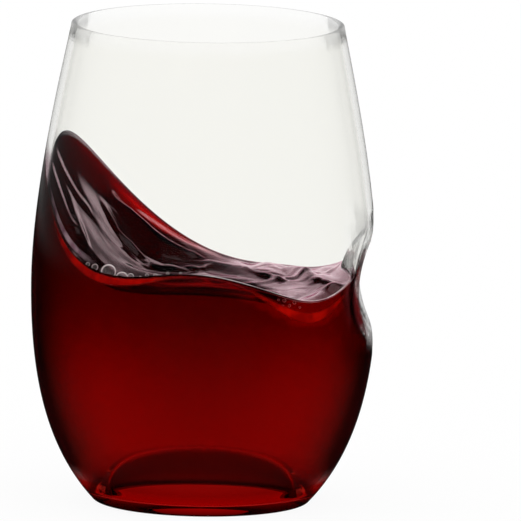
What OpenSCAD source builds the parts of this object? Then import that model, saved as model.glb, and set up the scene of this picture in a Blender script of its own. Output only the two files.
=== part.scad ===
// Stemless wine glass with a thumb notch, standing on its foot ring.
// The notch faces +X, the axis of the bowl is Z, and the table is at zero.

/* [Bowl] */
// Height from the table to the top of the rim
height = 120.6; // [108:0.2:134]
// Outside diameter at the belly, the widest place
belly_d = 86.6; // [82.2:0.2:92]
// Height of the belly above the table
belly_z = 55; // [50:0.5:60]
// Outside diameter of the mouth
mouth_d = 68.4; // [62:0.2:74]
// Outside diameter where the wall turns under into the foot
foot_d = 54.6; // [51:0.2:57]
// Thickness of the side wall
wall = 1.5; // [1:0.1:2]
// How far the wall leans in at the rim, in degrees
rim_lean = 8.5; // [4:0.5:14]
// How far the wall has turned in where it meets the foot, in degrees from level
foot_turn = 47; // [40:1:54]

/* [Foot and punt] */
// Radius that rolls the wall under to the table
foot_round = 1.5; // [1:0.1:2]
// Diameter of the domed recess under the foot
punt_d = 47; // [43:0.5:48]
// Height of that dome above the table
punt_rise = 10.5; // [6:0.5:14]
// Thickness of the floor, over the foot ring and over the dome
floor_t = 1.8; // [1.4:0.1:2.4]

/* [Thumb notch] */
// Height of the middle of the notch
notch_z = 56; // [52:0.5:60]
// How deep the thumb sinks into the belly
notch_depth = 8; // [6:0.5:9]
// Radius of the hollow, up and down
grip_r = 14; // [12:0.5:16]
// Radius of the hollow, across the thumb
grip_sweep = 48; // [40:1:60]
// Radius of the rolled lip above and below
lip_r = 7; // [5:0.5:8]

/* [Wine] */
// Lowest height of the wine along the wall
wine_z = 54; // [48:0.5:58]
// Height of the wine in the middle of the bowl
wine_mid_z = 54.5; // [50:0.5:60]
// Rise of the crest that runs up the wall
crest_rise = 37; // [10:0.5:45]
// Rise of the second lap, on the near wall
lap_rise = 9.5; // [4:0.5:14]
// Rise of the wine that piles up on the notch
pile_rise = 10; // [3:0.5:12]
// Clearance between the wine and the wall
wine_gap = 0.1; // [0.05:0.05:0.3]

/* [Hidden] */
$fn = 96;
CURVE_STEPS = 18;
ROLL_STEPS = 4;
// How far a cut runs past the face that it opens
overrun = 5;

belly_r = belly_d / 2;
mouth_r = mouth_d / 2;
foot_r = foot_d / 2;
punt_r = punt_d / 2;

// The upper wall and the lower wall are each one Bezier curve. These are the shares of a
// curve's height that its two ends keep to their own direction.
belly_up_share = 0.39;
rim_share = 0.085;
belly_down_share = 0.41;
foot_share = 0.33;
// The rolled rim takes this share of the wall on each side and leaves a narrow land
rim_round_share = 0.4;
rim_round = wall * rim_round_share;
// The height where the wall curve starts, over the roll of the foot
foot_top = foot_round * (1 - cos(foot_turn));
// The rolled foot leaves a flat ring to stand on
stand_r = foot_r - foot_round * sin(foot_turn);

// The dome of the punt rises steeply and flattens to its crown
punt_side_share = 0.72;
punt_crown_share = 0.62;

// The angle at which a lip crosses the wall, small enough to read as a roll
lip_break = 15;

// The wave runs round the wall as three soft bumps: the crest, the lap and the pile.
// Each has the direction where it is highest and the half width over which it dies away.
crest_az = 162;
crest_spread = 95;
lap_az = 264;
lap_spread = 60;
pile_az = 359;
pile_spread = 57;
// A power over one narrows the top of the crest and hollows its flanks
crest_power = 1.2;
// How sharply the surface turns up where it meets the wall
climb = 3;
WAVE_SECTORS = 48;
WAVE_RING_SHARES = [1.15, 1, 0.93, 0.85, 0.75, 0.63, 0.5, 0.35, 0.18];

function bezier(a, b, c, d, t) =
    pow(1 - t, 3) * a + 3 * pow(1 - t, 2) * t * b + 3 * (1 - t) * t * t * c + pow(t, 3) * d;
function curve(a, b, c, d, steps = CURVE_STEPS) =
    [for (i = [0:steps]) bezier(a, b, c, d, i / steps)];
function heading(angle) = [cos(angle), sin(angle)];
function roll(centre, r, from, to) =
    [for (i = [0:ROLL_STEPS]) centre + r * heading(from + (to - from) * i / ROLL_STEPS)];

// Moves each point of an upward line to its left, which is into the bowl
function shifted(line, d) = [for (i = [0:len(line) - 1])
    let (along = line[min(i + 1, len(line) - 1)] - line[max(i - 1, 0)])
        line[i] + d * [-along.y, along.x] / norm(along)];

rim_z = height - rim_round;
lower_h = belly_z - foot_top;
upper_h = rim_z - belly_z;
lower_wall = curve(
    [foot_r, foot_top],
    [foot_r, foot_top] + foot_share * lower_h * heading(foot_turn),
    [belly_r, belly_z - belly_down_share * lower_h],
    [belly_r, belly_z]);
upper_wall = curve(
    [belly_r, belly_z],
    [belly_r, belly_z + belly_up_share * upper_h],
    [mouth_r, rim_z] + rim_share * upper_h * heading(rim_lean - 90),
    [mouth_r, rim_z]);
wall_line = concat(lower_wall, [for (i = [1:CURVE_STEPS]) upper_wall[i]]);
wall_by_height = [for (p = wall_line) [p.y, p.x]];
function wall_r(z) = lookup(z, wall_by_height);

// Half of the dome under the foot, grown by the thickness that lies over it
module dome_half(grow) {
    r = punt_r + grow;
    top = punt_rise + grow;
    dome = curve([r, 0], [r, punt_side_share * top], [punt_crown_share * r, top], [0, top]);
    polygon(concat([[0, 0]], dome));
}

// Half of the vessel as if it were solid
module vessel_half() {
    foot = roll([stand_r, foot_round], foot_round, -90, foot_turn - 90);
    rim = roll([mouth_r - rim_round, rim_z], rim_round, 0, 90);
    polygon(concat([[0, 0]], foot, wall_line, rim, [[0, height]]));
}

// Half of the space inside, drawn in by a gap on every side
module space_half(gap) {
    inside = shifted(wall_line, wall + gap);
    lip = roll([mouth_r - wall + rim_round, rim_z], rim_round, 180, 90);
    top = height + overrun;
    difference() {
        intersection() {
            polygon(concat([[0, 0]], inside, lip, [[lip[ROLL_STEPS].x, top], [0, top]]));
            translate([0, floor_t + gap]) square([belly_r, top]);
        }
        dome_half(floor_t + gap);
    }
}

// The notch is turned about an upright axis outside the bowl, so that its hollow curves both
// ways. A circle makes the hollow, and a circle above and one below roll the lips.
notch_axis_x = belly_r - notch_depth + grip_sweep;
grip_x = belly_r - notch_depth + grip_r;
function lip_x(side) = wall_r(notch_z + side * grip_r) - lip_r * cos(lip_break);
function lip_rise(side) = sqrt(pow(grip_r + lip_r, 2) - pow(grip_x - lip_x(side), 2));

// Outline of the hollow, from the upright axis outwards
module hollow_half(grow) {
    translate([notch_axis_x - grip_x, 0]) circle(r = grip_r + grow);
    translate([0, -grip_r]) square([notch_axis_x - grip_x, 2 * grip_r]);
}

// Outline of what the lips lose when they are rolled
module lips_half(grow) {
    difference() {
        polygon([
            [0, -lip_rise(-1)],
            [notch_axis_x - lip_x(-1), -lip_rise(-1)],
            [notch_axis_x - grip_x, 0],
            [notch_axis_x - lip_x(1), lip_rise(1)],
            [0, lip_rise(1)]]);
        for (side = [-1, 1])
            translate([notch_axis_x - lip_x(side), side * lip_rise(side)])
                circle(r = lip_r - grow);
    }
}

module hollow(grow) {
    translate([notch_axis_x, 0, notch_z]) rotate_extrude() hollow_half(grow);
}

module lips(grow) {
    translate([notch_axis_x, 0, notch_z]) rotate_extrude() lips_half(grow);
}

// The inside of the bowl, with the back of the notch bulging into it
module space(gap) {
    difference() {
        rotate_extrude() space_half(gap);
        hollow(wall + gap);
        lips(wall + gap);
    }
}

// The wine along the wall, at a direction seen from above
function off(az, at) = abs((az - at + 540) % 360 - 180);
function bump(az, at, spread) = off(az, at) > spread ? 0 : (1 + cos(180 * off(az, at) / spread)) / 2;
function contact_z(az) = wine_z
    + crest_rise * pow(bump(az, crest_az, crest_spread), crest_power)
    + lap_rise * bump(az, lap_az, lap_spread)
    + pile_rise * bump(az, pile_az, pile_spread);
function wave_point(az, share) =
    let (top = contact_z(az), r = share * (wall_r(top) - wall))
        [r * cos(az), r * sin(az), wine_mid_z + (top - wine_mid_z) * pow(share, climb)];

// Everything under the surface of the wine, wider than the bowl
module wave() {
    n = WAVE_SECTORS;
    rings = len(WAVE_RING_SHARES);
    turn = 360 / n;
    floor_ring = [for (j = [0:n - 1]) [belly_d * cos(j * turn), belly_d * sin(j * turn), 0]];
    skin = [for (share = WAVE_RING_SHARES) for (j = [0:n - 1]) wave_point(j * turn, share)];
    last = n * (rings + 1);
    sides = [for (k = [0:rings - 1]) for (j = [0:n - 1])
        let (a = k * n + j, b = k * n + (j + 1) % n)
            each [[a, a + n, b + n], [a, b + n, b]]];
    crown = [for (j = [0:n - 1]) [last - n + j, last, last - n + (j + 1) % n]];
    polyhedron(
        concat(floor_ring, skin, [[0, 0, wine_mid_z]]),
        concat([[for (j = [0:n - 1]) j]], sides, crown),
        convexity = 6);
}

module bowl() {
    color([0.93, 0.94, 0.9, 0.35])
        difference() {
            rotate_extrude() vessel_half();
            rotate_extrude() dome_half(0);
            hollow(0);
            lips(0);
            space(0);
        }
}

module wine() {
    color([0.36, 0.01, 0.02])
        intersection() {
            space(wine_gap);
            wave();
        }
}

bowl();
wine();
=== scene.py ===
"""A stemless wine glass with a thumb notch, holding red wine caught in a slosh.

Lengths are in metres, +Z is up, the table is at zero and the notch faces +X.
"""
from math import atan2, cos, degrees, exp, hypot, pi, radians, sin, sqrt

import bmesh
import bpy
from bpy.props import FloatProperty, FloatVectorProperty, IntProperty, PointerProperty
from mathutils import Matrix, Quaternion, Vector


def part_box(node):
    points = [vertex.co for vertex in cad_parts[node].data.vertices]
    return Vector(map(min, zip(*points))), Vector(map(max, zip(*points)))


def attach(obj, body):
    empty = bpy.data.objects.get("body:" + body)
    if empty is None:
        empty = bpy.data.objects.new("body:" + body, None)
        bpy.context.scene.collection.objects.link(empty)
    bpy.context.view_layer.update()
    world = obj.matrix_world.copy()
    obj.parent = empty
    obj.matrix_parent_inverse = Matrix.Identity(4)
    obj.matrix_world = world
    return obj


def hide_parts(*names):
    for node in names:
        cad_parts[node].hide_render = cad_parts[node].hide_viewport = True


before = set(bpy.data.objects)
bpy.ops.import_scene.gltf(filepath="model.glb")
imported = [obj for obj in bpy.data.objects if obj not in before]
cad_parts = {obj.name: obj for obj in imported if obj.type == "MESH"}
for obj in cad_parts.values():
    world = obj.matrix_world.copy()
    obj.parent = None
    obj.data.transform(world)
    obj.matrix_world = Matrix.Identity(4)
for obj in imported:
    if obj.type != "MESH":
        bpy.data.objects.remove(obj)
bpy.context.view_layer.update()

bl_info = {
    "name": "Stemless Wine Glass",
    "version": (1, 0, 0),
    "blender": (4, 5, 0),
    "location": "View3D > Sidebar > Glass",
    "description": "Moulds a clear notched tumbler, pours its wine and lights it",
    "category": "Add Mesh",
}

MM = 0.001


# Sizes and colours

def length(name, description, default, **limits):
    return FloatProperty(name=name, description=description, default=default, unit="LENGTH",
                         subtype="DISTANCE", precision=5, **limits)


def colour(name, description, default):
    return FloatVectorProperty(name=name, description=description, default=default,
                               subtype="COLOR", size=3, min=0, max=1)


class BowlSizes(bpy.types.PropertyGroup):
    height: length("Height", "Table to the top of the rim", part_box("bowl")[1].z)
    belly_d: length("Belly", "Outside diameter at the widest place", 86.6 * MM)
    belly_z: length("Belly height", "Height of the belly above the table", 55 * MM)
    mouth_d: length("Mouth", "Outside diameter of the mouth", 68.4 * MM)
    foot_d: length("Foot", "Outside diameter where the wall turns under", 54.6 * MM)
    wall: length("Wall", "Thickness of the side wall", 1.5 * MM)
    floor_t: length("Floor", "Thickness of the floor over the ring and the dome", 1.8 * MM)
    foot_round: length("Foot roll", "Radius that rolls the wall under", 1.5 * MM)
    punt_d: length("Punt", "Diameter of the dome under the foot", 47 * MM)
    punt_rise: length("Punt rise", "Height of that dome above the table", 10.5 * MM)
    notch_z: length("Notch height", "Height of the middle of the notch", 56 * MM)
    notch_depth: length("Notch depth", "How deep the thumb sinks in", 8 * MM)
    grip_r: length("Grip", "Radius of the hollow, up and down", 14 * MM)
    grip_sweep: length("Grip sweep", "Radius of the hollow, across the thumb", 48 * MM)
    lip_r: length("Lip", "Radius of the rolled lips", 7 * MM)
    notch_soften: length("Notch softening", "Reach of the soft edge round the notch", 1.6 * MM)
    sectors: IntProperty(name="Sectors", description="Steps round the axis", default=380, min=48)


class WineSizes(bpy.types.PropertyGroup):
    low_z: length("Low line", "Lowest height of the wine along the wall", 54 * MM)
    middle_z: length("Middle", "Height of the wine in the middle", 54.5 * MM)
    crest: length("Crest", "Rise of the crest that runs up the wall", 37 * MM)
    lap: length("Lap", "Rise of the second lap on the near wall", 9.5 * MM)
    pile: length("Pile", "Rise of the wine that piles up on the notch", 10 * MM)
    curl: length("Curl", "How high the wine curls up where it meets the wall", 3.5 * MM)
    curl_reach: length("Curl reach", "How far that curl runs in from the wall", 1.8 * MM)
    skin: length("Skin", "Thickness of the shining skin over the wine", 0.08 * MM)
    wetting: length("Wetting", "How far its skin lies in the wall, so no air shows", 0.05 * MM)
    sectors: IntProperty(name="Sectors", description="Steps round the axis", default=400, min=48)


class Finishes(bpy.types.PropertyGroup):
    wall_tint: colour("Wall tint", "What the clear wall lets through", (0.958, 0.957, 0.933))
    # Painted shade: the wall darkens where it is seen edge on
    edge_shade_tint: colour("Edge tint", "What it lets through at a glancing angle", (0.88, 0.88, 0.87))
    # Painted refraction: the wine's red as the clear foot shows it, painted on the foot
    foot_refraction_tint: colour("Foot tint", "The wine's red, picked up by the foot", (1.0, 0.004, 0.003))
    # Painted shade: a dark red painted under the dome
    punt_shade_tint: colour("Punt tint", "The same red under the dome", (1.0, 0.0012, 0.001))
    # Wet film on the wall, darkened as painted shade
    film_and_shade_tint: colour("Film tint", "Wet wall over the crest", (0.06, 0.03, 0.036))
    side_film_and_shade_tint: colour("Side film tint", "The same wet wall seen edge on", (0.3, 0.19, 0.22))
    # Painted shade: a dark line beside the notch
    line_shade_tint: colour("Line tint", "The line beside the notch", (0.02, 0.003, 0.005))
    # Painted light and shade of the wine: its lit look square on, its painted shade edge on, and a
    # paler painted look behind the notch
    under_wall_lit_tint: colour("Under tint", "Wine under the wall, seen square on", (1.0, 0.4, 0.4))
    side_shade_tint: colour("Side tint", "The same, seen edge on", (0.02, 0.0004, 0.0006))
    notch_glow_tint: colour("Notch tint", "The same behind the notch", (0.3, 0.06, 0.1))
    # Painted light and shade on the open face: bright red where it runs thin, near black elsewhere
    thin_glow_tint: colour("Thin tint", "Wine where its surface runs thin", (0.26, 0.0004, 0.0002))
    open_face_shade_tint: colour("Crest tint", "Wine under its open surface", (0.0012, 0.00001, 0.00005))
    skin_tint: colour("Skin tint", "What the skin of the wine lets through", (1.0, 0.4, 0.55))
    mirror_tint: colour("Mirror tint", "What its gloss lets through", (1.0, 0.52, 0.76))
    # Painted light: a ruby glow along the wine's edge
    ruby_dark: colour("Ruby, dark", "Lit edge of the wine, at its darkest", (0.33, 0.004, 0.003))
    ruby_bright: colour("Ruby, bright", "The same at its brightest", (0.66, 0.014, 0.004))
    # Painted reflection: the lilac sheen of the wet film over the wine's edge
    lilac_sheen_dark: colour("Lilac, dark", "Film over the edge, at its darkest", (0.2, 0.1, 0.14))
    lilac_sheen_bright: colour("Lilac, bright", "The same at its brightest", (0.5, 0.36, 0.42))
    # Painted highlight: the pale rings of the bubbles
    bubble: colour("Bubble", "Rings of the bubbles", (0.95, 0.78, 0.82))
    # Painted highlight: the pale thread of froth
    thread_highlight_dark: colour("Thread, dark", "Thread of froth, at its darkest", (0.55, 0.38, 0.42))
    thread_highlight_bright: colour("Thread, bright", "The same at its brightest", (0.95, 0.85, 0.87))
    wine_hue: colour("Wine", "What one reach of wine lets through", (0.8625, 0.1875, 0.0))
    wine_density: FloatProperty(name="Wine density", description="Absorption per metre",
                                default=178, min=0)
    ground: colour("Ground", "Floor and backdrop", (1.0, 1.0, 1.0))


# Curves

def bezier(a, b, c, d, t):
    return a * (1 - t) ** 3 + b * (3 * t * (1 - t) ** 2) + c * (3 * t * t * (1 - t)) + d * t ** 3


def heading(angle):
    return Vector((cos(radians(angle)), sin(radians(angle))))


def roll(centre, r, start, stop, steps):
    return [centre + r * heading(start + (stop - start) * i / steps) for i in range(steps + 1)]


def shifted(line, d):
    """The line moved to its left, which is into the bowl on a line that runs up."""
    last = len(line) - 1
    moved = []
    for i, point in enumerate(line):
        along = line[min(i + 1, last)] - line[max(i - 1, 0)]
        moved.append(point + d * Vector((-along.y, along.x)).normalized())
    return moved


def at_height(line, z):
    """How far a rising line lies from the axis at a height."""
    if z <= line[0].y:
        return line[0].x
    for low, high in zip(line, line[1:]):
        if z <= high.y:
            return low.x + (high.x - low.x) * (z - low.y) / (high.y - low.y)
    return line[-1].x


def smooth(x):
    """0 below zero, 1 over one, and a soft rise between them."""
    x = min(max(x, 0.0), 1.0)
    return x * x * (3 - 2 * x)


def soft_step(x, start, reach):
    """0 up to start, then softly to 1 over the reach; a negative reach steps up downwards."""
    return smooth((x - start) / reach)


def bump(azimuth, at, spread):
    """1 in one direction, falling softly to 0 at the spread on either side."""
    off = abs((azimuth - at + 540) % 360 - 180)
    return 0.0 if off > spread else (1 + cos(pi * off / spread)) / 2


def azimuth_of(point):
    """The direction of a point seen from above, in degrees from the notch."""
    return degrees(atan2(point.y, point.x)) % 360


def placed(azimuth, r, z):
    """The point in a direction, at a distance from the axis and at a height."""
    turn = radians(azimuth)
    return Vector((r * cos(turn), r * sin(turn), z))


class Bowl:
    """The shape of the vessel, worked out from its sizes."""
    BELLY_UP_SHARE = 0.39
    RIM_SHARE = 0.085
    BELLY_DOWN_SHARE = 0.41
    FOOT_SHARE = 0.33
    RIM_ROUND_SHARE = 0.4
    PUNT_SIDE_SHARE = 0.84
    PUNT_CROWN_SHARE = 0.74
    RIM_LEAN = 8.5
    FOOT_TURN = 47
    LIP_BREAK = 15
    WALL_STEPS = 44
    DOME_STEPS = 20
    # The groove round the dome starts this many floors up and dips this share of the way down
    GROOVE_START = 1.9
    GROOVE_DIP = 1.15
    GROOVE_STEPS = 8
    # How far inside the notch a vertex counts as pressed
    WELL_IN = 0.4 * MM

    def __init__(self, sizes):
        self.s = sizes
        s = sizes
        self.belly_r = s.belly_d / 2
        mouth_r = s.mouth_d / 2
        foot_r = s.foot_d / 2
        self.rim_round = s.wall * self.RIM_ROUND_SHARE
        self.rim_z = s.height - self.rim_round
        foot_top = s.foot_round * (1 - cos(radians(self.FOOT_TURN)))
        self.stand_r = foot_r - s.foot_round * sin(radians(self.FOOT_TURN))
        lower_h = s.belly_z - foot_top
        upper_h = self.rim_z - s.belly_z
        foot = Vector((foot_r, foot_top))
        belly = Vector((self.belly_r, s.belly_z))
        rim = Vector((mouth_r, self.rim_z))
        n = self.WALL_STEPS
        # Both curves take closer steps towards the belly, where the notch is
        lower = [bezier(foot, foot + self.FOOT_SHARE * lower_h * heading(self.FOOT_TURN),
                        belly - Vector((0, self.BELLY_DOWN_SHARE * lower_h)), belly,
                        sin(pi / 2 * i / n)) for i in range(n + 1)]
        upper = [bezier(belly, belly + Vector((0, self.BELLY_UP_SHARE * upper_h)),
                        rim + self.RIM_SHARE * upper_h * heading(self.RIM_LEAN - 90), rim,
                        1 - cos(pi / 2 * i / n)) for i in range(n + 1)]
        self.wall_line = lower + upper[1:]
        self.axis_x = self.belly_r - s.notch_depth + s.grip_sweep
        self.grip_x = self.belly_r - s.notch_depth + s.grip_r
        reach = cos(radians(self.LIP_BREAK)) * s.lip_r
        self.lip_x = {side: self.wall_r(s.notch_z + side * s.grip_r) - reach for side in (-1, 1)}
        self.lip_rise = {side: sqrt((s.grip_r + s.lip_r) ** 2 - (self.grip_x - x) ** 2)
                         for side, x in self.lip_x.items()}

    def wall_r(self, z):
        return at_height(self.wall_line, z)

    def dome(self, grow):
        """The dome under the foot, from its edge to its crown, grown by what lies over it."""
        r = self.s.punt_d / 2 + grow
        top = self.s.punt_rise + grow
        points = (Vector((r, 0)), Vector((r, self.PUNT_SIDE_SHARE * top)),
                  Vector((self.PUNT_CROWN_SHARE * r, top)), Vector((0, top)))
        return [bezier(*points, i / self.DOME_STEPS) for i in range(self.DOME_STEPS + 1)]

    def dome_r(self, z):
        """How far the middle of the floor over the dome lies from the axis at a height."""
        line = self.dome(self.s.floor_t / 2)
        return at_height(line, z) if z < line[-1].y else 0.0

    def inside(self, grow):
        """The inner skin from the crown of the floor out, through the groove and up to the rim."""
        s = self.s
        start_z = self.GROOVE_START * s.floor_t
        dome = [p for p in self.dome(s.floor_t) if p.y > start_z]
        wall = [p for p in shifted(self.wall_line, s.wall - grow) if p.y > start_z]
        sunk = Vector((0, s.floor_t - start_z)) * self.GROOVE_DIP
        n = self.GROOVE_STEPS
        groove = [bezier(dome[0], dome[0] + sunk, wall[0] + sunk, wall[0], i / n)
                  for i in range(1, n)]
        return dome[::-1] + groove + wall

    def notch_reach(self, z, grow):
        """How far the pressed face lies from the notch's upright axis at a height."""
        s = self.s
        dz = z - s.notch_z
        side = 1 if dz > 0 else -1
        rise = self.lip_rise[side]
        tangent = rise * (s.grip_r + grow) / (s.grip_r + s.lip_r)
        if abs(dz) <= tangent:
            return self.axis_x - self.grip_x + sqrt((s.grip_r + grow) ** 2 - dz * dz)
        lip_r = s.lip_r - grow
        over = abs(dz) - rise
        lip_centre = self.axis_x - self.lip_x[side]
        if over < 0:
            return lip_centre - sqrt(max(lip_r ** 2 - over ** 2, 0))
        return lip_centre - lip_r - over * over / s.lip_r

    def press(self, verts, grow):
        """Presses the notch into a skin that lies grow inside the outer face.

        Gives back the vertices that lie well inside the notch.
        """
        notched = set()
        k = self.s.notch_soften
        for v in verts:
            if v.co.x < 0 or abs(v.co.z - self.s.notch_z) >= 2 * self.s.grip_r:
                continue
            dx = v.co.x - self.axis_x
            far = hypot(dx, v.co.y)
            reach = self.notch_reach(v.co.z, grow)
            if far - reach > k:
                continue
            if far - reach < -self.WELL_IN:
                notched.add(v)
            mix = min(max(0.5 + 0.5 * (far - reach) / k, 0), 1)
            pressed = reach + (far - reach) * mix + k * mix * (1 - mix)
            v.co.x = self.axis_x + dx * pressed / far
            v.co.y = v.co.y * pressed / far
        return notched

    def is_outer(self, point):
        """Whether a point lies on the outer half of the side wall."""
        return hypot(point.x, point.y) > self.wall_r(point.z) - self.s.wall / 2

    def is_inner(self, point):
        """Whether a point lies on the skin that faces the drink."""
        s = self.s
        r = point.to_2d().length
        over_dome = point.z > s.punt_rise + s.floor_t / 2 or r > self.dome_r(point.z)
        return over_dome and r < self.wall_r(point.z) - s.wall / 2

    def is_dome(self, point):
        """Whether a point belongs to the dome, which shows only faintly in the wine."""
        s = self.s
        r = point.to_2d().length
        return r < s.punt_d / 2 + s.floor_t and point.z < 2 * s.punt_rise


# Meshes

def spun(line, sectors):
    """A skin turned from a line of (radius, height) points that ends on the axis."""
    bm = bmesh.new()
    verts = [bm.verts.new((p.x, 0, p.y)) for p in line]
    edges = [bm.edges.new(pair) for pair in zip(verts, verts[1:])]
    bmesh.ops.spin(bm, geom=verts + edges, cent=(0, 0, 0), axis=(0, 0, 1), dvec=(0, 0, 0),
                   angle=2 * pi, steps=sectors, use_merge=True, use_duplicate=False)
    bmesh.ops.remove_doubles(bm, verts=bm.verts, dist=1e-6)
    bmesh.ops.dissolve_degenerate(bm, edges=bm.edges, dist=1e-7)
    bmesh.ops.recalc_face_normals(bm, faces=bm.faces)
    return bm


def grid(bm, steps):
    """New vertices in a grid, each with its shares of the way along and across."""
    columns, rows = steps
    made = bmesh.ops.create_grid(bm, x_segments=columns, y_segments=rows, size=1)["verts"]
    return [(v, (v.co.x + 1) / 2, (v.co.y + 1) / 2) for v in made]


def set_slot(verts, slot):
    for face in {face for v in verts for face in v.link_faces}:
        face.material_index = slot


def finished(bm, name, *materials):
    """The mesh as a smooth piece of the scene, with its materials in their slots."""
    for face in bm.faces:
        face.smooth = True
    mesh = bpy.data.meshes.new(name)
    bm.to_mesh(mesh)
    bm.free()
    piece = bpy.data.objects.new(name, mesh)
    bpy.context.scene.collection.objects.link(piece)
    for material in materials:
        mesh.materials.append(material)
    return piece


# Shader maths

def math_node(operation, swapped=False):
    """A method that adds one Math node to the tree of a value."""
    def method(self, *others):
        inputs = (*others, self) if swapped else (self, *others)
        node = self.tree.add("ShaderNodeMath", {"operation": operation}, dict(enumerate(inputs)))
        return node.value(0)
    return method


class Value:
    """A socket that Python's operators work on: each adds a Math node."""

    __add__, __radd__ = math_node("ADD"), math_node("ADD", True)
    __sub__, __rsub__ = math_node("SUBTRACT"), math_node("SUBTRACT", True)
    __mul__, __rmul__ = math_node("MULTIPLY"), math_node("MULTIPLY", True)
    __truediv__ = math_node("DIVIDE")
    __pow__ = math_node("POWER")
    __abs__ = math_node("ABSOLUTE")

    def __init__(self, tree, socket):
        self.tree = tree
        self.socket = socket

    def ramp(self, start, stop, low=0.0, high=1.0):
        """A soft step from low to high."""
        return self.tree.add("ShaderNodeMapRange", {"interpolation_type": "SMOOTHSTEP"},
                             {"Value": self, "From Min": start, "From Max": stop,
                              "To Min": low, "To Max": high}).value(0)


class Node:
    """A node whose outputs are given as values."""

    def __init__(self, tree, node):
        self.tree = tree
        self.node = node

    def value(self, name):
        return Value(self.tree, self.node.outputs[name])


class Tree:
    """A node tree that is built in one call per node."""

    def __init__(self, owner):
        owner.use_nodes = True
        self.tree = owner.node_tree
        self.tree.nodes.clear()

    def add(self, kind, settings=None, values=None):
        node = self.tree.nodes.new(kind)
        for name, setting in (settings or {}).items():
            setattr(node, name, setting)
        for name, given in (values or {}).items():
            self.join(node.inputs[name], given)
        return Node(self, node)

    def join(self, socket, given):
        if isinstance(given, Value):
            self.tree.links.new(given.socket, socket)
        elif socket.type == "RGBA" and len(given) == 3:
            socket.default_value = (*given, 1)
        else:
            socket.default_value = given

    def mix(self, share, low, high):
        node = self.add("ShaderNodeMix", {"data_type": "RGBA"})
        by_type = {(s.name, s.type): s for s in node.node.inputs}
        self.join(by_type["Factor", "VALUE"], share)
        self.join(by_type["A", "RGBA"], low)
        self.join(by_type["B", "RGBA"], high)
        return Value(self, next(s for s in node.node.outputs if s.type == "RGBA"))

    def product(self, first, second):
        node = self.add("ShaderNodeVectorMath", {"operation": "MULTIPLY"}, {0: first, 1: second})
        return node.value(0)

    def painted(self, name, output="Fac"):
        """What is painted on the vertices under a name."""
        return self.add("ShaderNodeAttribute", {"attribute_name": name}).value(output)

    def glancing(self):
        """0 where a ray meets the face square on and 1 where it grazes it."""
        return self.add("ShaderNodeLayerWeight", None, {"Blend": 0.5}).value("Facing")

    def place(self, output="Object"):
        """The point on the piece, whole and as x, y and z."""
        point = self.add("ShaderNodeTexCoord").value(output)
        return point, self.add("ShaderNodeSeparateXYZ", None, {0: point})

    def noise(self, scale, detail):
        point, _ = self.place()
        return self.add("ShaderNodeTexNoise", None,
                        {"Vector": point, "Scale": scale, "Detail": detail}).value(0)

    def principled(self, inputs):
        return self.add("ShaderNodeBsdfPrincipled", None, inputs).value(0)

    def output(self, **shaders):
        self.add("ShaderNodeOutputMaterial", None, shaders)


def new_material(name):
    """A material and its empty tree."""
    material = bpy.data.materials.new(name)
    return material, Tree(material)


# Materials

# Weak bending lets the wine and the dome show through the wall in their own places
WALL_BENDING = {"clear_wall": 1.12, "dome_wall": 1.03, "notch_wall": 1.015}
DOME_SLOT = 1
NOTCH_SLOT = 2
# How much of the wall goes where it is painted faint
FADED = 0.6
# The wine itself doesn't bend light: the skin over it carries the shine
WINE_IOR = 1.0
SKIN_IOR = 1.25
GLOSS_IOR = 1.35
# Painted shade: the wine darkens along the wall between these heights, down to this share
SHADE_Z = (26 * MM, 56 * MM)
SHADE_SHARE = 0.24
# The skin's gloss grows along X, from the crest to the notch
GLOSS_X = (-8 * MM, 14 * MM)
GLOSS_SHARES = (0.22, 0.7)
# How far a face turns from square on between its two looks, from 0 to 1: painted shade at the
# wall's and the wine's edges, painted highlight rings on the bubbles
WALL_TURN = (0.8, 1.0)
WINE_TURN = (0.05, 0.54)
BUBBLE_TURN = (0.3, 0.7)
BUBBLE_CLEAR = 0.04
# The painted glow shows between these
GLOW_RANGE = (0.02, 0.75)
# Scale and detail of the noise, and the part of its range that shows
EDGE_GRAIN = (230, 2)
EDGE_GRAIN_RANGE = (0.35, 0.65)
THREAD_GRAIN = (180, 2)
THREAD_GRAIN_RANGE = (0.3, 0.6)


def clear_plastic(name, looks, bending):
    """The moulded wall: clear, a trace warm, with painted shade where it is seen edge on."""
    material, tree = new_material(name)
    edge = tree.mix(tree.glancing().ramp(*WALL_TURN), (1, 1, 1), looks.edge_shade_tint)
    tree.output(Surface=tree.principled({
        "Base Color": tree.product(tree.painted("tint", "Color"), edge), "Roughness": 0.0,
        "IOR": bending, "Transmission Weight": 1.0,
        "Alpha": 1 - FADED * tree.painted("faint")}))
    return material


def red_wine(looks):
    """Clear red all through and coloured by its depth, with painted light and shade: shade at its
    glancing edges and higher up the wall, light near its top edge, over the dome and behind the
    notch, and an open face painted near black with bright strips where it runs thin.
    """
    material, tree = new_material("red_wine")
    _, place = tree.place()
    near_top = tree.painted("near_top")
    shade = place.value("Z").ramp(*SHADE_Z, 1, SHADE_SHARE)
    # Painted shade at glancing edges and higher up, painted light near the top edge and over the
    # dome
    facing = tree.glancing().ramp(*WINE_TURN, 1, 0) * (shade + near_top * (1 - shade))
    facing = facing + tree.painted("over_dome") * (1 - facing)
    edge = tree.mix(tree.painted("at_notch"), looks.side_shade_tint, looks.notch_glow_tint)
    under = tree.mix(facing, edge, looks.under_wall_lit_tint)
    # The open face is painted near black as shade, with painted light where it runs thin
    over = tree.mix(tree.painted("thin_glow_edge"), looks.open_face_shade_tint, looks.thin_glow_tint)
    shader = tree.principled({
        "Base Color": tree.mix(tree.painted("open_face"), under, over), "Roughness": 0.0,
        "IOR": WINE_IOR, "Transmission Weight": 1.0, "Specular Tint": (0, 0, 0)})
    depth = tree.add("ShaderNodeVolumeAbsorption", None, {
        "Color": looks.wine_hue, "Density": looks.wine_density})
    tree.output(Surface=shader, Volume=depth.value(0))
    return material


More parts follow.
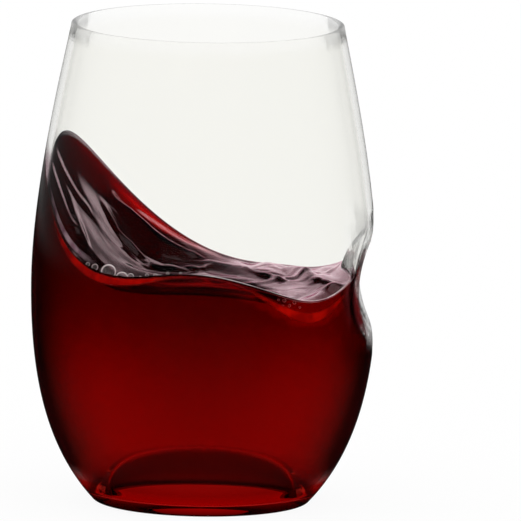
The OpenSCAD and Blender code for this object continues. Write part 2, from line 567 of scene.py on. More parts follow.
def shining_skin(looks):
    """The skin that mirrors the room, laid over wine that only colours what passes."""
    material, tree = new_material("shining_skin")
    _, place = tree.place()
    tree.output(Surface=tree.principled({
        "Base Color": looks.skin_tint, "Roughness": 0.0, "IOR": SKIN_IOR,
        "Coat Weight": place.value("X").ramp(*GLOSS_X, *GLOSS_SHARES), "Coat IOR": GLOSS_IOR,
        "Coat Roughness": 0.0, "Coat Tint": looks.mirror_tint, "Transmission Weight": 1.0}))
    return material


def lit_edge(name, dark, bright, strength):
    """Painted light: a strip against the wall, as bright as it is painted, for the glow of thin
    wine and the sheen of its wet film.
    """
    material, tree = new_material(name)
    grain = tree.noise(*EDGE_GRAIN).ramp(*EDGE_GRAIN_RANGE)
    tree.output(Surface=tree.principled({
        "Base Color": tree.mix(grain, dark, bright), "Roughness": 0.5,
        "Specular IOR Level": 0.0, "Alpha": tree.painted("glow").ramp(*GLOW_RANGE) * strength}))
    return material


def froth_skin(looks):
    """Bubbles: painted highlight rings, pale where the face is seen edge on, with clear middles.
    """
    material, tree = new_material("froth_skin")
    tree.output(Surface=tree.principled({
        "Base Color": looks.bubble, "Roughness": 0.2,
        "Alpha": tree.glancing().ramp(*BUBBLE_TURN, BUBBLE_CLEAR, 1)}))
    return material


def pale_thread(looks):
    """The thread of froth along the wine's edge, painted pale as a highlight."""
    material, tree = new_material("pale_thread")
    grain = tree.noise(*THREAD_GRAIN).ramp(*THREAD_GRAIN_RANGE)
    tree.output(Surface=tree.principled({
        "Base Color": tree.mix(grain, looks.thread_highlight_dark, looks.thread_highlight_bright),
        "Roughness": 0.3}))
    return material


# The wave

CREST_AZ, CREST_SPREAD, CREST_POWER = 162, 95, 1.2
LAP_AZ, LAP_SPREAD = 264, 60
PILE_AZ, PILE_SPREAD = 359, 57
CLIMB = 3
CURL_LOW = 0.25
NEAR_CURL_AZ, NEAR_CURL_SPREAD = 262, 110
FAR_CURL_AZ, FAR_CURL_SPREAD = 112, 34
# Where a fold's taper starts, and the power that flattens the folds at the wall
FOLD_END = 0.1
FOLD_POWER = 12

# Folds of the surface, in millimetres seen from above: start x and y, end x and y, half width
# and rise
FOLDS = (
    (-44.1, 2.1, -32.7, -8.6, 2.7, 3.02), (-52.7, 16.7, -27.7, 3.7, 6.5, -1.10),
    (-25.0, 19.6, -13.0, 10.7, 2.7, 1.51), (-14.5, 7.9, 0.7, 22.7, 1.9, 1.57),
    (-24.3, 27.4, -3.6, 29.5, 4.1, 4.51), (-23.5, 34.6, 0.5, 39.2, 7.0, 3.23),
    (-5.8, 32.7, 15.7, 15.0, 5.3, 1.90), (18.9, 33.1, 27.9, -7.4, 2.8, 2.04),
    (23.5, -12.5, 22.5, -35.7, 4.8, 1.30), (-52.3, -13.7, -15.0, -13.8, 6.5, -3.34),
    (-21.6, -1.9, 2.3, 6.9, 4.8, 1.00), (-1.1, 11.7, 12.0, 4.2, 4.0, -1.24),
    (15.0, 43.9, 17.2, 15.2, 5.1, 1.95), (9.3, -2.0, 16.0, -10.7, 3.7, -2.03),
    (3.2, -2.0, 45.4, 10.6, 3.7, 0.53), (21.1, -44.4, 30.4, -18.8, 5.1, 2.68),
    (-12.0, -24.0, 5.0, -26.0, 2.4, 0.60), (-23.6, 17.3, -9.1, 25.1, 5.1, -1.66),
    (-40.8, -5.3, -32.0, -13.2, 2.7, 2.44), (28.4, 17.1, 35.5, -13.6, 3.6, -1.12),
    (-36.4, 7.7, -21.1, 37.3, 6.8, -3.22), (10.3, 18.3, 19.7, 0.3, 1.4, 1.21),
    (-33.7, 0.8, -28.6, -12.7, 2.4, 1.24), (-27.9, 6.3, -33.4, -22.6, 4.4, 1.32),
    (-44.4, -1.0, -29.8, 7.5, 2.0, 1.76), (-22.3, 6.7, -15.2, 6.4, 3.1, 0.23),
    (-24.9, 4.2, -23.1, 10.6, 3.6, -0.29), (-23.9, 18.3, -22.8, 8.7, 6.8, -0.78),
    (-15.6, 11.6, -3.2, 17.8, 1.3, -1.17), (-18.8, 30.8, -13.1, 34.2, 3.5, 1.28),
    (-13.2, 28.5, 7.4, 27.6, 1.6, -0.94), (5.2, 52.3, 12.8, 16.9, 4.8, 0.70),
    (10.4, 6.2, 29.7, -5.6, 1.6, 0.12), (26.5, -8.7, 24.1, -17.8, 3.4, -0.29),
    (-4.5, 36.0, 19.1, 22.4, 1.8, -0.21), (17.6, 24.8, 20.2, 16.5, 2.6, 0.39),
    (6.7, 18.7, 19.8, 3.4, 2.6, 0.64), (18.4, 11.0, 32.6, 5.1, 3.2, -0.40),
    (19.0, 4.4, 30.2, -11.4, 1.7, -0.10), (30.5, -16.3, 35.0, -21.6, 3.4, 1.88),
    (14.1, -15.0, 20.7, -24.0, 2.3, 1.86), (27.4, -5.5, 32.5, -15.0, 1.3, 0.90),
    (-10.9, -8.7, 16.3, -15.3, 5.1, 1.15), (1.4, 5.3, 11.5, -2.2, 2.3, -1.81),
    (30.1, 26.9, 30.0, 6.8, 2.6, 0.54), (34.6, 11.4, 32.0, 4.7, 1.7, -0.26),
    (-9.3, 25.2, 8.4, 14.3, 1.3, -0.17), (-7.7, -6.2, 32.6, -5.8, 5.2, -0.20),
)


def fold_rise(x, y):
    """How far the folds lift the surface at a place seen from above."""
    lift = 0.0
    x, y = x / MM, y / MM
    for start_x, start_y, end_x, end_y, half_width, rise in FOLDS:
        along_x, along_y = end_x - start_x, end_y - start_y
        t = ((x - start_x) * along_x + (y - start_y) * along_y) / (along_x ** 2 + along_y ** 2)
        t = min(max(t, 0), 1)
        away = hypot(x - start_x - t * along_x, y - start_y - t * along_y) / half_width
        if away < 1:
            taper = sin(pi * (FOLD_END + (1 - 2 * FOLD_END) * t))
            lift += rise * taper * (1 + cos(pi * away)) / 2
    return lift * MM


class Wave:
    """The surface of the wine, frozen as it runs up the wall."""

    def __init__(self, bowl, sizes):
        self.bowl = bowl
        self.s = sizes
        self.skin = shifted(bowl.wall_line, bowl.s.wall - sizes.wetting)

    def contact_z(self, azimuth):
        s = self.s
        return (s.low_z
                + s.crest * bump(azimuth, CREST_AZ, CREST_SPREAD) ** CREST_POWER
                + s.lap * bump(azimuth, LAP_AZ, LAP_SPREAD)
                + s.pile * bump(azimuth, PILE_AZ, PILE_SPREAD))

    def curl(self, azimuth):
        """How high the wine curls up where it meets the wall."""
        near = CURL_LOW + (1 - CURL_LOW) * bump(azimuth, NEAR_CURL_AZ, NEAR_CURL_SPREAD)
        far = bump(azimuth, FAR_CURL_AZ, FAR_CURL_SPREAD)
        return self.s.curl * max(near, far)

    def point(self, azimuth, share):
        """A place on the surface, given as a direction and a share of the way to the wall."""
        r = share * at_height(self.skin, self.contact_z(azimuth))
        turn = radians(azimuth)
        x, y = r * cos(turn), r * sin(turn)
        folds = fold_rise(x, y) * (1 - share ** FOLD_POWER)
        return x, y, self.height(azimuth, share) + folds

    def height(self, azimuth, share):
        top = self.contact_z(azimuth)
        curl = self.curl(azimuth)
        away = (1 - share) * self.bowl.belly_r
        base = self.s.middle_z + (top - curl - self.s.middle_z) * share ** CLIMB
        return base + curl * exp(-away / self.s.curl_reach)


# Operators

def planned(scene):
    """The bowl, the wave and the finishes that the scene's sizes and colours give."""
    bowl = Bowl(scene.bowl_sizes)
    return bowl, Wave(bowl, scene.wine_sizes), scene.finishes


def depths(*pairs):
    """A line through shares of the light, each at its height in millimetres."""
    return [Vector((share, z * MM)) for share, z in pairs]


class GLASS_OT_bowl(bpy.types.Operator):
    """Mould the clear bowl with its rolled rim, domed foot and thumb notch"""
    bl_idname = "glass.bowl"
    bl_label = "Bowl"

    FOOT_STEPS = 8
    RIM_STEPS = 6

    # Painted shade by height: how much of the painted red the foot and the dome let through
    FOOT_SHADE_BY_HEIGHT = depths((0.004, 0), (0.004, 1.1), (0.15, 2), (0.26, 3), (0.4, 4.5), (0.5, 5.5))
    PUNT_SHADE_BY_HEIGHT = depths((0.6, 2.5), (0.2, 4), (0.15, 7), (0.08, 9.8), (0.072, 10.5))
    # Painted shade: the foot is dark between these directions, and lightens upwards
    FOOT_DARK = 0.03
    FOOT_SPREAD = 75
    FOOT_EDGE = 0.1 * MM
    FOOT_LIGHTENS = (2.5 * MM, 2 * MM)
    FOOT_ENDS = (5.5 * MM, 3 * MM)

    # A soft step is where it starts and over how far. The film's are over the wine's edge. The wet
    # film is painted far darker than its own tint, as painted shade.
    FILM_AZ, FILM_SPREAD = 196, 26
    FILM_LOW, FILM_HIGH = (-3 * MM, 2 * MM), (5 * MM, -3 * MM)
    SIDE_FILM_AZ, SIDE_FILM_SPREAD, SIDE_FILM_GAIN = 181, 23, 1.7
    SIDE_FILM_FROM = 198
    SIDE_FILM_LOW, SIDE_FILM_HIGH = (-6 * MM, 3 * MM), (13 * MM, -5 * MM)

    # Caught light would blacken the rim and the notch, so they are faint
    RIM_FAINT = 0.95
    RIM_STEP = (116 * MM, 3.5 * MM)
    NOTCH_FAINT, NOTCH_FAINT_LOW = 0.4, 0.5
    NOTCH_STEP_X = (34 * MM, 2 * MM)
    NOTCH_STEP_Z = (19 * MM, -5 * MM)
    NOTCH_STEP_LOW = (62 * MM, -6 * MM)

    # Painted shade: the dark line beside the notch closes on it high up
    LINE_NEAR, LINE_CLEAR = 0.3 * MM, 3.5 * MM
    LINE_CLOSES = (58 * MM, 10 * MM)
    LINE_LOW, LINE_HIGH = (42 * MM, 3 * MM), (65 * MM, -3 * MM)
    LINE_CORE, LINE_HALF = 1.6, 0.9 * MM

    def execute(self, context):
        bowl, wave, looks = planned(context.scene)
        bm = spun(self.outline(bowl), bowl.s.sectors)
        tint = bm.verts.layers.float_color.new("tint")
        faint = bm.verts.layers.float.new("faint")
        for v in bm.verts:
            v[tint] = (*self.tint_at(bowl, wave, looks, v.co), 1)
            v[faint] = self.faint_at(bowl, v.co)
        outer = [v for v in bm.verts if bowl.is_outer(v.co)]
        inner = [v for v in bm.verts if not bowl.is_outer(v.co)]
        notched = bowl.press(outer, 0) | bowl.press(inner, bowl.s.wall)
        for face in bm.faces:
            if notched.issuperset(face.verts):
                face.material_index = NOTCH_SLOT
            elif bowl.is_dome(face.calc_center_median()):
                face.material_index = DOME_SLOT
        walls = [clear_plastic(name, looks, bending) for name, bending in WALL_BENDING.items()]
        piece = finished(bm, "moulded_bowl", *walls)
        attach(piece, "root")
        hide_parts("bowl")
        return {"FINISHED"}

    def outline(self, bowl):
        """Half of the vessel's section: dome, foot, wall, rim, and back down the inside."""
        s = bowl.s
        mouth_r = s.mouth_d / 2
        foot = roll(Vector((bowl.stand_r, s.foot_round)), s.foot_round, -90,
                    bowl.FOOT_TURN - 90, self.FOOT_STEPS)
        rim = roll(Vector((mouth_r - bowl.rim_round, bowl.rim_z)), bowl.rim_round,
                   0, 90, self.RIM_STEPS)
        lip = roll(Vector((mouth_r - s.wall + bowl.rim_round, bowl.rim_z)), bowl.rim_round,
                   90, 180, self.RIM_STEPS)
        outside = bowl.dome(0)[::-1] + foot + bowl.wall_line[1:] + rim[1:]
        return outside + lip + bowl.inside(0)[::-1][1:]

    def faint_at(self, bowl, point):
        at_rim = soft_step(point.z, *self.RIM_STEP)
        at_notch = (soft_step(point.x, *self.NOTCH_STEP_X)
                    * soft_step(abs(point.z - bowl.s.notch_z), *self.NOTCH_STEP_Z))
        low = soft_step(point.z, *self.NOTCH_STEP_LOW)
        at_notch *= self.NOTCH_FAINT + self.NOTCH_FAINT_LOW * low
        at_notch *= 1 - self.notch_line(bowl, point)
        return max(self.RIM_FAINT * at_rim, at_notch)

    def notch_line(self, bowl, point):
        """1 along the painted dark line of shade beside the notch."""
        s = bowl.s
        if point.x < 0 or abs(point.z - s.notch_z) > s.grip_r:
            return 0
        beside = hypot(point.x - bowl.axis_x, point.y) - bowl.notch_reach(point.z, 0)
        clear = self.LINE_CLEAR * (1 - soft_step(point.z, *self.LINE_CLOSES))
        away = abs(beside - self.LINE_NEAR - clear) / self.LINE_HALF
        ends = soft_step(point.z, *self.LINE_LOW) * soft_step(point.z, *self.LINE_HIGH)
        return smooth(self.LINE_CORE - away) * ends

    def tint_at(self, bowl, wave, looks, point):
        """The wall's own tint, with the wine's red painted on the foot as refraction, painted
        shade round the foot and under the dome, the wet film's lilac darkened as painted shade,
        and the painted dark line of shade beside the notch.
        """
        azimuth = azimuth_of(point)
        wall = Vector(looks.wall_tint)
        if bowl.is_inner(point):
            over = point.z - wave.contact_z(azimuth)
            # The wet film over the crest, darkened as painted shade
            film = soft_step(over, *self.FILM_HIGH) * soft_step(over, *self.FILM_LOW)
            film *= bump(azimuth, self.FILM_AZ, self.FILM_SPREAD)
            return wall.lerp(Vector(looks.film_and_shade_tint), film)
        # Painted shade under the dome
        if point.to_2d().length <= bowl.stand_r - self.FOOT_EDGE:
            return Vector(looks.punt_shade_tint) * at_height(self.PUNT_SHADE_BY_HEIGHT, point.z)
        # Painted shade at the foot's sides and towards the table, over the wine's red painted on
        # as refraction
        facing = max(bump(azimuth, side, self.FOOT_SPREAD) for side in (90, 270))
        facing = self.FOOT_DARK + (1 - self.FOOT_DARK) * facing
        facing += (1 - facing) * soft_step(point.z, *self.FOOT_LIGHTENS)
        foot = Vector(looks.foot_refraction_tint) * at_height(self.FOOT_SHADE_BY_HEIGHT, point.z) * facing
        tint = foot.lerp(wall, soft_step(point.z, *self.FOOT_ENDS))
        # The wet film seen edge on, darkened as painted shade
        over = point.z - wave.contact_z(self.SIDE_FILM_FROM)
        film = soft_step(over, *self.SIDE_FILM_HIGH) * soft_step(over, *self.SIDE_FILM_LOW)
        around = bump(azimuth, self.SIDE_FILM_AZ, self.SIDE_FILM_SPREAD)
        film *= min(1, self.SIDE_FILM_GAIN * around)
        tint = tint.lerp(Vector(looks.side_film_and_shade_tint), film)
        # Painted shade along the line beside the notch
        return tint.lerp(Vector(looks.line_shade_tint), self.notch_line(bowl, point))


class GLASS_OT_wine(bpy.types.Operator):
    """Pour the wine and throw it into its wave"""
    bl_idname = "glass.wine"
    bl_label = "Wine"

    RINGS = 90
    MARKS = ("open_face", "near_top", "thin_glow_edge", "over_dome", "at_notch")
    # Up to this height the wine keeps the shape of its bed
    STEADY_Z = 14 * MM
    # The bed ends this far under the level surface
    BED_GAP = 0.2 * MM
    # What counts as level, and the share of the way to the wall that counts as its edge
    HAIR = 1e-6
    AT_WALL = 0.9999

    # Painted light where the surface runs thin, on the far side, the near side, the crest and the
    # pile:
    # direction, spread, gain, and the share of the way to the wall where it starts and its step
    THIN = ((108, 26, 1, 0.885, 0.03), (268, 82, 2, 0.8, 0.15),
            (140, 45, 0.045, 0.88, 0.05), (0, 40, 0.035, 0.84, 0.04))
    # How much of the far side's thin strip goes again close to the wall, and where
    FAR_LOSS = 0.8
    FAR_STEP = (0.965, 0.02)
    # Painted light: the wine lies bright under its edge for this far, and for more in one
    # direction
    BRIGHT, BRIGHT_MORE = 2 * MM, 4 * MM
    BRIGHT_AZ, BRIGHT_SPREAD = 308, 40
    # Painted light: the low wine beside the dome is painted as lit as the wine over it
    LOW_SHARE = 0.8
    LOW_STEP = (3 * MM, 7 * MM)
    # Painted light: the wine's edge behind the notch is painted paler
    NOTCH_SPREAD = 40
    NOTCH_STEP = (36 * MM, 8 * MM)

    def execute(self, context):
        bowl, wave, looks = planned(context.scene)
        s = wave.s
        level = s.middle_z
        bed = [p for p in bowl.inside(s.wetting) if p.y < level - self.BED_GAP]
        reach = at_height(wave.skin, level)
        surface = [Vector((reach * (1 - i / self.RINGS), level)) for i in range(self.RINGS + 1)]
        bm = spun(bed + surface, s.sectors)
        marks = {name: bm.verts.layers.float.new(name) for name in self.MARKS}
        punt_r = bowl.s.punt_d / 2
        floor_t = bowl.s.floor_t
        for v in bm.verts:
            azimuth = azimuth_of(v.co)
            r = hypot(v.co.x, v.co.y)
            top = wave.contact_z(azimuth)
            over_floor = v.co.z < self.STEADY_Z and r < punt_r + floor_t
            low = self.LOW_SHARE * (1 - soft_step(v.co.z, *self.LOW_STEP))
            v[marks["over_dome"]] = max(float(over_floor), low)
            at_notch = bump(azimuth, 0, self.NOTCH_SPREAD) * soft_step(v.co.z, *self.NOTCH_STEP)
            v[marks["at_notch"]] = at_notch
            if v.co.z > level - self.HAIR:
                share = r / reach
                v[marks["open_face"]] = 0.0 if share > self.AT_WALL else 1.0
                v[marks["thin_glow_edge"]] = self.thin_glow_share(azimuth, share)
                x, y, v.co.z = wave.point(azimuth, share)
                new_r = hypot(x, y)
            elif v.co.z > self.STEADY_Z and r > punt_r + 2 * floor_t:
                up = (v.co.z - self.STEADY_Z) / (level - self.STEADY_Z)
                v.co.z += up * up * (top - level)
                new_r = at_height(wave.skin, v.co.z)
            else:
                continue
            if r > 0:
                v.co.x *= new_r / r
                v.co.y *= new_r / r
            bright = self.BRIGHT
            bright += self.BRIGHT_MORE * bump(azimuth, self.BRIGHT_AZ, self.BRIGHT_SPREAD)
            v[marks["near_top"]] = 1 - soft_step(top - v.co.z, bright, MM)
        bowl.press(bm.verts, bowl.s.wall - s.wetting)
        piece = finished(bm, "poured_wine", red_wine(looks))
        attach(piece, "root")
        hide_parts("wine")
        return {"FINISHED"}

    def thin_glow_share(self, azimuth, share):
        """How much painted light the wine's edge gets where it runs thin."""
        far, near, crest, pile = (
            min(1, gain * bump(azimuth, at, spread)) * soft_step(share, start, step)
            for at, spread, gain, start, step in self.THIN)
        far *= 1 - self.FAR_LOSS * soft_step(share, *self.FAR_STEP)
        return max(far, near, crest, pile)


class GLASS_OT_surface(bpy.types.Operator):
    """Lay the thin shining skin over the wine"""
    bl_idname = "glass.surface"
    bl_label = "Surface"

    # The skin stops short of the notch, by this much more in its middle
    NOTCH_SPREAD = 30
    NOTCH_EDGE, NOTCH_MORE = 0.985, 0.13

    def execute(self, context):
        bowl, wave, looks = planned(context.scene)
        rings = GLASS_OT_wine.RINGS
        bm = spun([Vector((1 - i / rings, 0)) for i in range(rings + 1)], wave.s.sectors)
        at_notch = [face for face in bm.faces if self.is_on_notch(face.calc_center_median())]
        bmesh.ops.delete(bm, geom=at_notch, context="FACES")
        for v in bm.verts:
            x, y, z = wave.point(azimuth_of(v.co), hypot(v.co.x, v.co.y))
            v.co = Vector((x, y, z + wave.s.skin / 2))
        bowl.press(bm.verts, bowl.s.wall - wave.s.wetting)
        bmesh.ops.recalc_face_normals(bm, faces=bm.faces)
        bmesh.ops.solidify(bm, geom=bm.faces, thickness=wave.s.skin)
        bmesh.ops.recalc_face_normals(bm, faces=bm.faces)
        piece = finished(bm, "wine_surface", shining_skin(looks))
        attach(piece, "root")
        return {"FINISHED"}

    def is_on_notch(self, place):
        """Whether the wine climbs the back of the notch here, where it shows no mirror."""
        near = bump(azimuth_of(place), 0, self.NOTCH_SPREAD)
        return near > 0 and place.length > self.NOTCH_EDGE - self.NOTCH_MORE * near


class GLASS_OT_meniscus(bpy.types.Operator):
    """Paint light along the thin edge of the wine by the near wall: a ruby glow and a lilac
    painted reflection in the wet film
    """
    bl_idname = "glass.meniscus"
    bl_label = "Meniscus"

    STEPS = (240, 14)
    INSET = 0.12 * MM
    # The glow leans up the strip, and fades at each end
    GLOW_LEAN = 1.15
    GLOW_ENDS = 8

    # The ruby strip swells to the left and to the right: direction and spread
    RUBY_SPAN = (192, 338)
    RUBY_LEFT, RUBY_RIGHT = (226, 50), (308, 32)
    RUBY_TOP, RUBY_TOP_RIGHT = 0.1, 2.4
    RUBY_WIDTH, RUBY_WIDTH_LEFT, RUBY_WIDTH_RIGHT = 0.9, 2.6, 2.9
    RUBY_LEAST = 0.25

    # The lilac strip is a painted reflection in the wet film
    LILAC_SPAN = (184, 240)
    LILAC_AT = (209, 26)
    LILAC_TOP, LILAC_BOTTOM = 2.8, 0.2
    LILAC_GAIN = 1.2
    LILAC_STRENGTH = 0.75

    def execute(self, context):
        bowl, wave, looks = planned(context.scene)
        bm = bmesh.new()
        bm.verts.layers.float.new("glow")
        self.strip(bm, wave, self.RUBY_SPAN, self.ruby)
        set_slot(self.strip(bm, wave, self.LILAC_SPAN, self.lilac), 1)
        bowl.press(bm.verts, bowl.s.wall + self.INSET)
        bmesh.ops.recalc_face_normals(bm, faces=bm.faces)
        piece = finished(
            bm, "meniscus",
            lit_edge("ruby_edge", looks.ruby_dark, looks.ruby_bright, 1.0),
            lit_edge("lilac_edge", looks.lilac_sheen_dark, looks.lilac_sheen_bright, self.LILAC_STRENGTH))
        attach(piece, "root")
        return {"FINISHED"}

    def ruby(self, azimuth):
        left = bump(azimuth, *self.RUBY_LEFT)
        right = bump(azimuth, *self.RUBY_RIGHT)
        top = -(self.RUBY_TOP + self.RUBY_TOP_RIGHT * right)
        width = self.RUBY_WIDTH + self.RUBY_WIDTH_LEFT * left + self.RUBY_WIDTH_RIGHT * right
        return top * MM, (top - width) * MM, max(self.RUBY_LEAST, left, right)

    def lilac(self, azimuth):
        strength = self.LILAC_GAIN * bump(azimuth, *self.LILAC_AT)
        return self.LILAC_TOP * MM, self.LILAC_BOTTOM * MM, strength

    def strip(self, bm, wave, span, shape):
        """Lines the wall beside the wine's edge, and gives back the strip's vertices.

        The shape at each direction is the strip's top and bottom over that edge, and how
        strongly it shows.
        """
        glow = bm.verts.layers.float["glow"]
        start, stop = span
        made = grid(bm, self.STEPS)
        for v, along, down in made:
            azimuth = start + (stop - start) * along
            top, bottom, strength = shape(azimuth)
            z = wave.contact_z(azimuth) + top + (bottom - top) * down
            v.co = placed(azimuth, at_height(wave.skin, z) - self.INSET, z)
            ends = smooth(along * self.GLOW_ENDS) * smooth((1 - along) * self.GLOW_ENDS)
            v[glow] = sin(pi * min(self.GLOW_LEAN * down, 1)) * strength * ends
        return [v for v, _, _ in made]


class GLASS_OT_froth(bpy.types.Operator):
    """Blow the bubbles with their painted highlight rings, and draw the line of froth along the
    near edge as a painted highlight
    """
    bl_idname = "glass.froth"
    bl_label = "Froth"

    # Direction, depth and radius, in degrees and millimetres. The depth is measured from the
    # lift over the wine's edge.
    BUBBLES = ((233.4, 2.1, 1.9), (239.5, 2.9, 1.6), (228.4, 1.9, 0.8), (236, 4.0, 0.9),
               (231, 3.2, 0.5), (243.6, 2.2, 0.8), (247.5, 2.7, 0.6), (250, 2.0, 0.45),
               (253, 2.3, 0.55), (257.5, 1.9, 0.35), (225.4, 2.1, 0.5), (262, 2.0, 0.3),
               (299, 3.2, 0.45), (301, 4.1, 0.4), (303, 3.0, 0.45), (296.6, 3.5, 0.3),
               (305.2, 3.9, 0.3), (298.2, 4.6, 0.28))
    BUBBLE_LIFT = 2.2
    BUBBLE_GAP = 0.1
    BUBBLE_SEGMENTS, BUBBLE_RINGS = 24, 16

    THREAD_STEPS = (160, 8)
    THREAD_SPAN = (258, 341)
    # The thread swells from its ends, each a fifth of its length
    THREAD_ENDS = 5
    THREAD_R, THREAD_LEAST_R = 0.28 * MM, 0.02 * MM
    THREAD_GAP = 0.1 * MM
    THREAD_IN = 0.3 * MM

    def execute(self, context):
        bowl, wave, looks = planned(context.scene)
        bm = bmesh.new()
        for azimuth, depth, r in self.BUBBLES:
            z = wave.contact_z(azimuth) + (self.BUBBLE_LIFT - depth) * MM
            out = at_height(wave.skin, z) - (r + self.BUBBLE_GAP) * MM
            bmesh.ops.create_uvsphere(
                bm, u_segments=self.BUBBLE_SEGMENTS, v_segments=self.BUBBLE_RINGS,
                radius=r * MM, matrix=Matrix.Translation(placed(azimuth, out, z)))
        thread = self.thread(bm, wave)
        set_slot(thread, 1)
        bowl.press(thread, bowl.s.wall + self.THREAD_IN)
        piece = finished(bm, "froth", froth_skin(looks), pale_thread(looks))
        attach(piece, "root")
        return {"FINISHED"}

    def thread(self, bm, wave):
        """The thin pale thread along the wine's near edge, a painted highlight."""
        start, stop = self.THREAD_SPAN
        made = grid(bm, self.THREAD_STEPS)
        for v, along, around in made:
            azimuth = start + (stop - start) * along
            ends = smooth(along * self.THREAD_ENDS) * smooth((1 - along) * self.THREAD_ENDS)
            thread_r = self.THREAD_R * ends + self.THREAD_LEAST_R
            turn = 2 * pi * around
            z = wave.contact_z(azimuth) - self.THREAD_GAP
            middle = at_height(wave.skin, z) - thread_r - self.THREAD_GAP
            v.co = placed(azimuth, middle + thread_r * cos(turn),
                          z + thread_r * sin(turn))
        return [v for v, _, _ in made]


class GLASS_OT_stage(bpy.types.Operator):
    """Lay the pale floor, hang the soft light and stand the camera"""
    bl_idname = "glass.stage"
    bl_label = "Stage"

    def execute(self, context):
        scene = context.scene
        floor(scene)
        sky(scene)
        camera(scene)
        scene.view_settings.view_transform = "Standard"
        return {"FINISHED"}


# Floor, light and camera

FLOOR_REACH = 30.0
GLOW = 0.93
# Painted shadow under the foot: the share of light the floor keeps there, and where it gains the
# rest
COVERED = 0.8
COVER = (21 * MM, 25 * MM)
# The panels end between these cosines of the angle from their middle
PANEL_START = 0.899
PANEL_END = 0.829
PANEL_GAP = 0.03
# They mirror in the floor from here out
PANEL_FLOOR = (0.08, 0.22)
# They fade upwards, over this height of the view and to this share
PANEL_TOP = (0.03, 0.9)
PANEL_TOP_SHARE = 0.05
# Edges mirror little of the floor and the low sky, and more of the high sky
EDGE_LIGHT = 0.25
EDGE_FLOOR = (0.5, 0.8)
EDGE_SKY = (0.15, 0.4)
OVERHEAD_LIGHT = 0.9
# What has passed this many faces mirrors less
DEEP_RAYS = (4.2, 5.0)
DEEP_LIGHT = 0.6
# Keeps the division clear of zero
TINY = 1e-6


def panels(across, along):
    """1 towards the two wide white panels, before and behind, and less between them."""
    whole = (across * across + along * along + TINY) ** 0.5
    return abs(along / whole).ramp(PANEL_END, PANEL_START, PANEL_GAP, 1), whole


def light_level(path, mirrored, at_edges):
    """How bright the surroundings look: plain to most rays, less in reflections."""
    level = 1 + path.value("Glossy Depth").ramp(0, 1) * (mirrored - 1)
    straight = path.value("Is Reflection Ray") * path.value("Is Glossy Ray")
    return level + straight * (at_edges - level)


def floor(scene):
    bm = bmesh.new()
    bmesh.ops.create_grid(bm, x_segments=2, y_segments=2, size=FLOOR_REACH)
    material, tree = new_material("pale_floor")
    _, place = tree.place()
    path = tree.add("ShaderNodeLightPath")
    panel, distance = panels(place.value("X"), place.value("Y"))
    mirrored = 1 + distance.ramp(*PANEL_FLOOR) * (panel - 1)
    level = light_level(path, mirrored, distance.ramp(*EDGE_FLOOR) * EDGE_LIGHT)
    seen = (path.value("Is Camera Ray") + path.value("Is Transmission Ray")
            + path.value("Is Glossy Ray")).ramp(0, 1)
    glow = tree.add("ShaderNodeEmission", None, {
        "Color": scene.finishes.ground,
        # Painted shadow under the foot
        "Strength": seen * level * GLOW * distance.ramp(*COVER, COVERED, 1)})
    matt = tree.add("ShaderNodeBsdfDiffuse", None, {"Color": (1 - GLOW, 1 - GLOW, 1 - GLOW)})
    lit = tree.add("ShaderNodeAddShader", None, {0: glow.value(0), 1: matt.value(0)})
    tree.output(Surface=lit.value(0))
    piece = finished(bm, "floor", material)


def sky(scene):
    world = bpy.data.worlds.new("studio")
    scene.world = world
    tree = Tree(world)
    _, way = tree.place("Generated")
    path = tree.add("ShaderNodeLightPath")
    panel, _ = panels(way.value("X"), way.value("Y"))
    panel = panel * way.value("Z").ramp(*PANEL_TOP, 1, PANEL_TOP_SHARE)
    deep = path.value("Transmission Depth").ramp(*DEEP_RAYS)
    at_edges = way.value("Z").ramp(*EDGE_SKY, EDGE_LIGHT, OVERHEAD_LIGHT)
    level = light_level(path, panel * (1 - (1 - DEEP_LIGHT) * deep), at_edges)
    shade = tree.add("ShaderNodeBackground", None, {
        "Color": scene.finishes.ground, "Strength": level})
    tree.add("ShaderNodeOutputWorld", None, {"Surface": shade.value(0)})


# The photograph's frame in pixels, its scale and the foot's middle in it
FRAME_PX = 521
PX_PER_M = 3990.45
BASE_PX = (200.713, 499.175)
# Degrees that the camera rolls and looks down, and metres that it stands away
CAMERA_ROLL = 0.9125
ELEVATION = 8.96
DISTANCE = 5.95
SENSOR_MM = 36


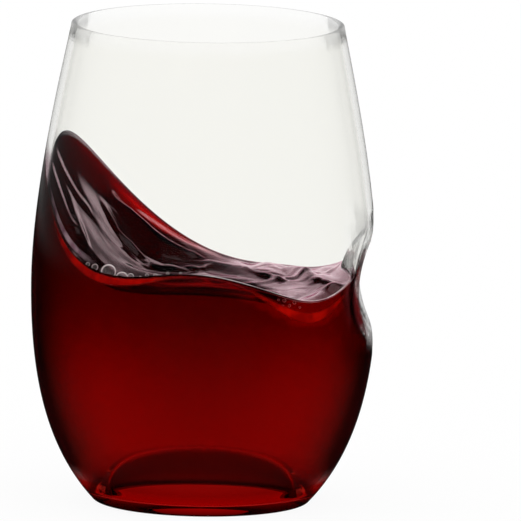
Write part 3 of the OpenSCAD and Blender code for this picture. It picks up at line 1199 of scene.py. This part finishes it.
def camera(scene):
    data = bpy.data.cameras.new("camera")
    cam = bpy.data.objects.new("camera", data)
    scene.collection.objects.link(cam)
    scene.camera = cam
    data.sensor_width = SENSOR_MM
    data.lens = SENSOR_MM * DISTANCE / (FRAME_PX / PX_PER_M)
    data.clip_start, data.clip_end = 0.5, 100
    back = Vector((0, -cos(radians(ELEVATION)), sin(radians(ELEVATION))))
    level = (-back).to_track_quat("-Z", "Y")
    cam.rotation_mode = "QUATERNION"
    cam.rotation_quaternion = level @ Quaternion((0, 0, 1), radians(CAMERA_ROLL))
    axes = cam.rotation_quaternion.to_matrix()
    right, up = axes.col[0], axes.col[1]
    shift_x = (FRAME_PX / 2 - BASE_PX[0]) / PX_PER_M
    shift_y = (BASE_PX[1] - FRAME_PX / 2) / PX_PER_M
    cam.location = back * DISTANCE + right * shift_x + up * shift_y


# Panel and registration

class GLASS_PT_panel(bpy.types.Panel):
    """Everything that makes the glass"""
    bl_idname = "GLASS_PT_panel"
    bl_label = "Stemless Wine Glass"
    bl_space_type = "VIEW_3D"
    bl_region_type = "UI"
    bl_category = "Glass"

    def draw(self, context):
        for operator in OPERATORS:
            self.layout.operator(operator.bl_idname)
        for group in GROUPS:
            sizes = getattr(context.scene, group)
            box = self.layout.box()
            for name in sizes.bl_rna.properties.keys():
                if name not in ("rna_type", "name"):
                    box.prop(sizes, name)


GROUPS = {"bowl_sizes": BowlSizes, "wine_sizes": WineSizes, "finishes": Finishes}
OPERATORS = (GLASS_OT_bowl, GLASS_OT_wine, GLASS_OT_surface, GLASS_OT_meniscus,
             GLASS_OT_froth, GLASS_OT_stage)
CLASSES = (BowlSizes, WineSizes, Finishes, *OPERATORS, GLASS_PT_panel)


def register():
    for cls in CLASSES:
        bpy.utils.register_class(cls)
    for name, group in GROUPS.items():
        setattr(bpy.types.Scene, name, PointerProperty(type=group))


def unregister():
    for name in GROUPS:
        delattr(bpy.types.Scene, name)
    for cls in reversed(CLASSES):
        bpy.utils.unregister_class(cls)


def main():
    register()
    bpy.ops.glass.bowl()
    bpy.ops.glass.wine()
    bpy.ops.glass.surface()
    bpy.ops.glass.meniscus()
    bpy.ops.glass.froth()
    bpy.ops.glass.stage()


if __name__ == "__main__":
    main()
